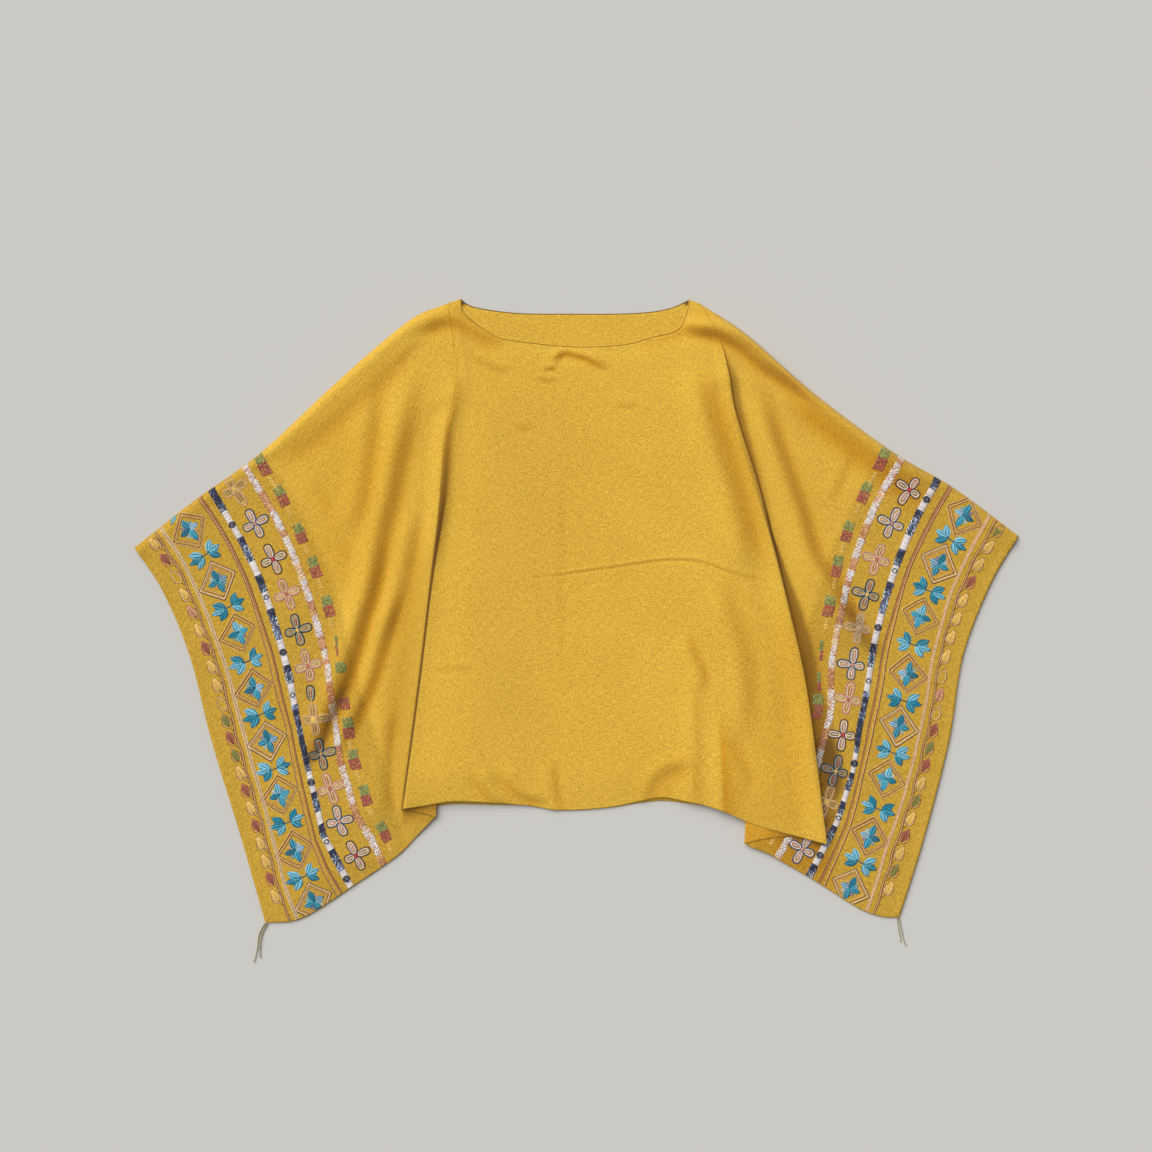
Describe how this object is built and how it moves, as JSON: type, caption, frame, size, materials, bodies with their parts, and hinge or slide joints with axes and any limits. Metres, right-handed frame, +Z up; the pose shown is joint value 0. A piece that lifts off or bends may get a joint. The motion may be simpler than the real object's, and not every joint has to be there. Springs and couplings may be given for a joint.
{
  "type": "poncho",
  "caption": "Woven poncho laid flat: boat neck, pleated body over slanted wings with embroidered cuff borders, curved hem.",
  "frame": {"origin": "on the surface the poncho lies on, under the middle of the body", "axes": "+X towards the cuff at the right of the view from above, +Y towards the neck, +Z up"},
  "size_m": [1.1485, 0.8622, 0.0155],
  "materials": {
    "front_cloth": "matt mustard-yellow plain weave with embroidered cuff borders",
    "back_cloth": "matt mustard-yellow plain weave with embroidered cuff borders",
    "thread": "matt twisted thread"
  },
  "bodies": {
    "root": {"front_panel": "front_cloth", "back_panel": "back_cloth", "thread_left_long": "thread", "thread_left_short": "thread", "thread_right_long": "thread", "thread_right_short": "thread"}
  },
  "joints": []
}
